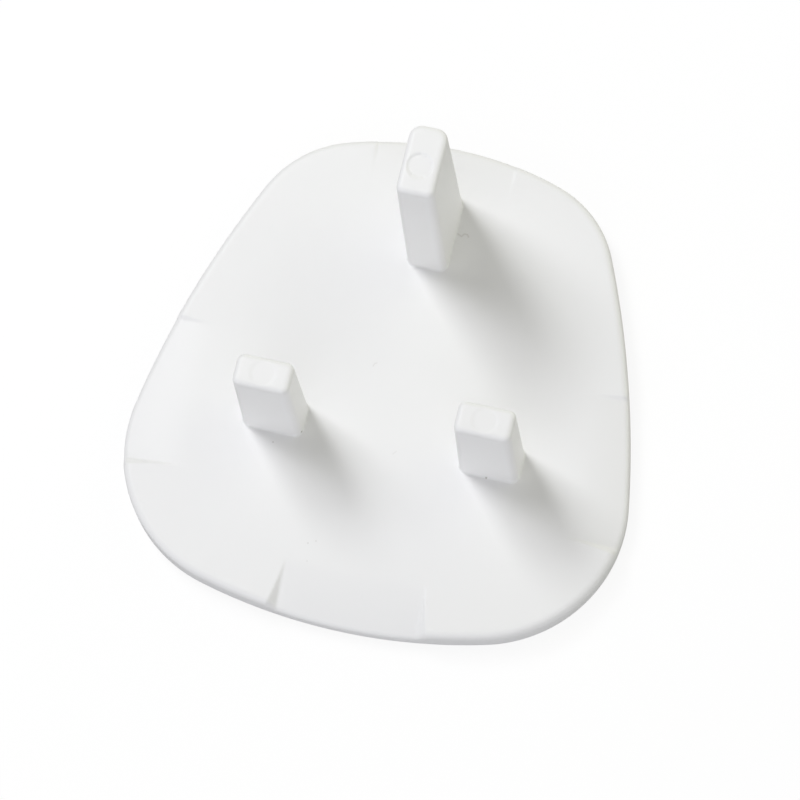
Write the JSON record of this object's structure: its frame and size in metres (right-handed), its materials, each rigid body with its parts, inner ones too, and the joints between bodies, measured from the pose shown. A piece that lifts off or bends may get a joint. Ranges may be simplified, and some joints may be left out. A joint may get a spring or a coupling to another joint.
{
  "type": "outlet safety cover",
  "caption": "Moulded plastic socket cover: a rounded plate with shallow finger bevels in its rim, a tall earth pin and short side-by-side pins.",
  "frame": {"origin": "middle of the plate's width and height, on its flat front face, which it lies on", "axes": "+Z along the pins, from root to tip; +Y from the short pins towards the earth pin; +X from the live pin to the neutral pin"},
  "size_m": [0.051, 0.0512, 0.0246],
  "materials": {
    "moulding": "satin white moulded plastic"
  },
  "bodies": {
    "root": {"cover": "moulding"}
  },
  "joints": []
}
